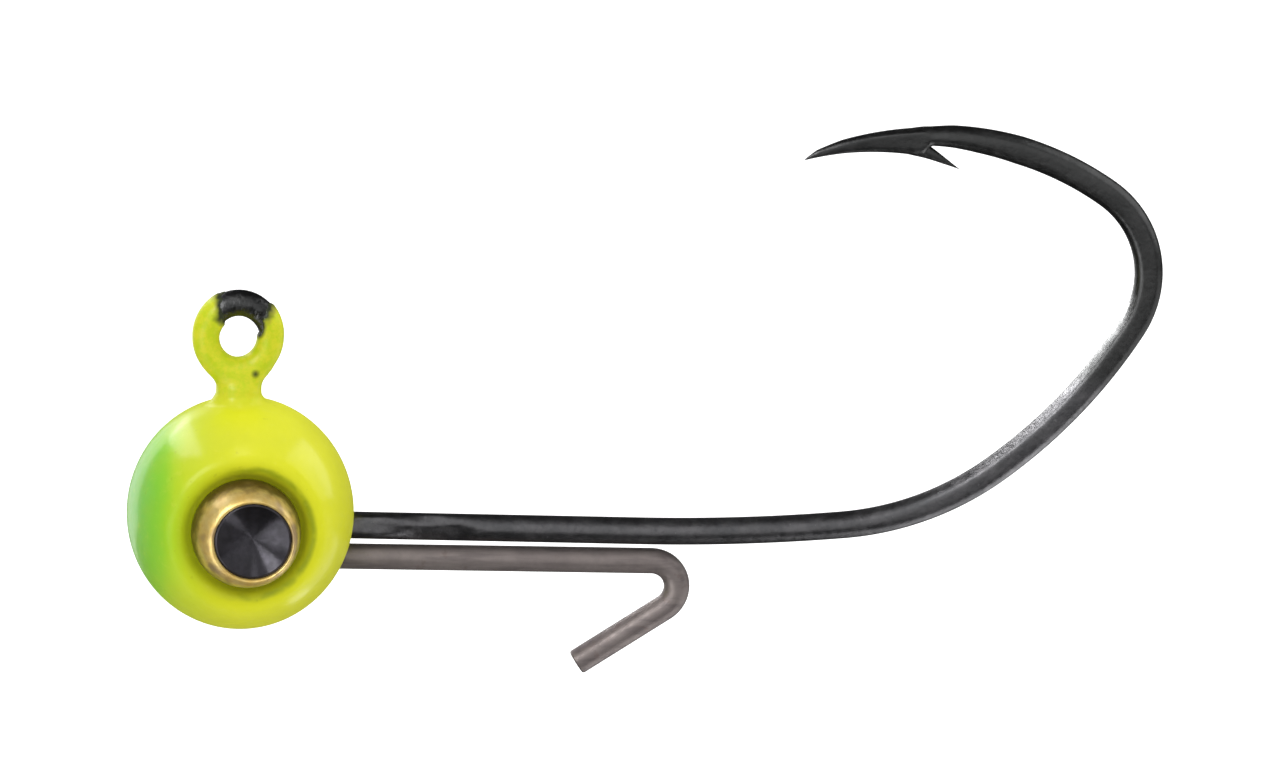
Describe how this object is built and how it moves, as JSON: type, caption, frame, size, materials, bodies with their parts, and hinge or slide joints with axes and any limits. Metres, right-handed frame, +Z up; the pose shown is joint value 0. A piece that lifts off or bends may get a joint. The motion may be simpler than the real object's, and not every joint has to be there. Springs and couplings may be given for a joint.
{
  "type": "jig head",
  "caption": "Ball jig head: a painted lead ball cast on a wide-gap hook, with a line tie, a bent bait-keeper wire and domed brass eyes.",
  "frame": {"origin": "centre of the line-tie hole, in the hook's plane", "axes": "+X back along the hook's shank, away from the ball; +Z up, towards the hook's point; +Y across, so the hook lies in the plane Y = 0 and left is +Y"},
  "size_m": [0.0375, 0.0084, 0.0209],
  "materials": {
    "lead": "dull grey cast lead, hidden under the paint",
    "paint": "glossy chartreuse powder paint with a green nose",
    "hook_wire": "black nickel, satin",
    "keeper_wire": "grey drawn steel wire",
    "eye_brass": "pressed brass, slightly tarnished",
    "pupil_black": "black enamel, dished"
  },
  "bodies": {
    "root": {"lead_head": "lead", "paint_coat": "paint", "hook": "hook_wire", "bait_keeper_wire": "keeper_wire", "eye_ring_left": "eye_brass", "eye_ring_right": "eye_brass", "pupil_left": "pupil_black", "pupil_right": "pupil_black"}
  },
  "joints": []
}
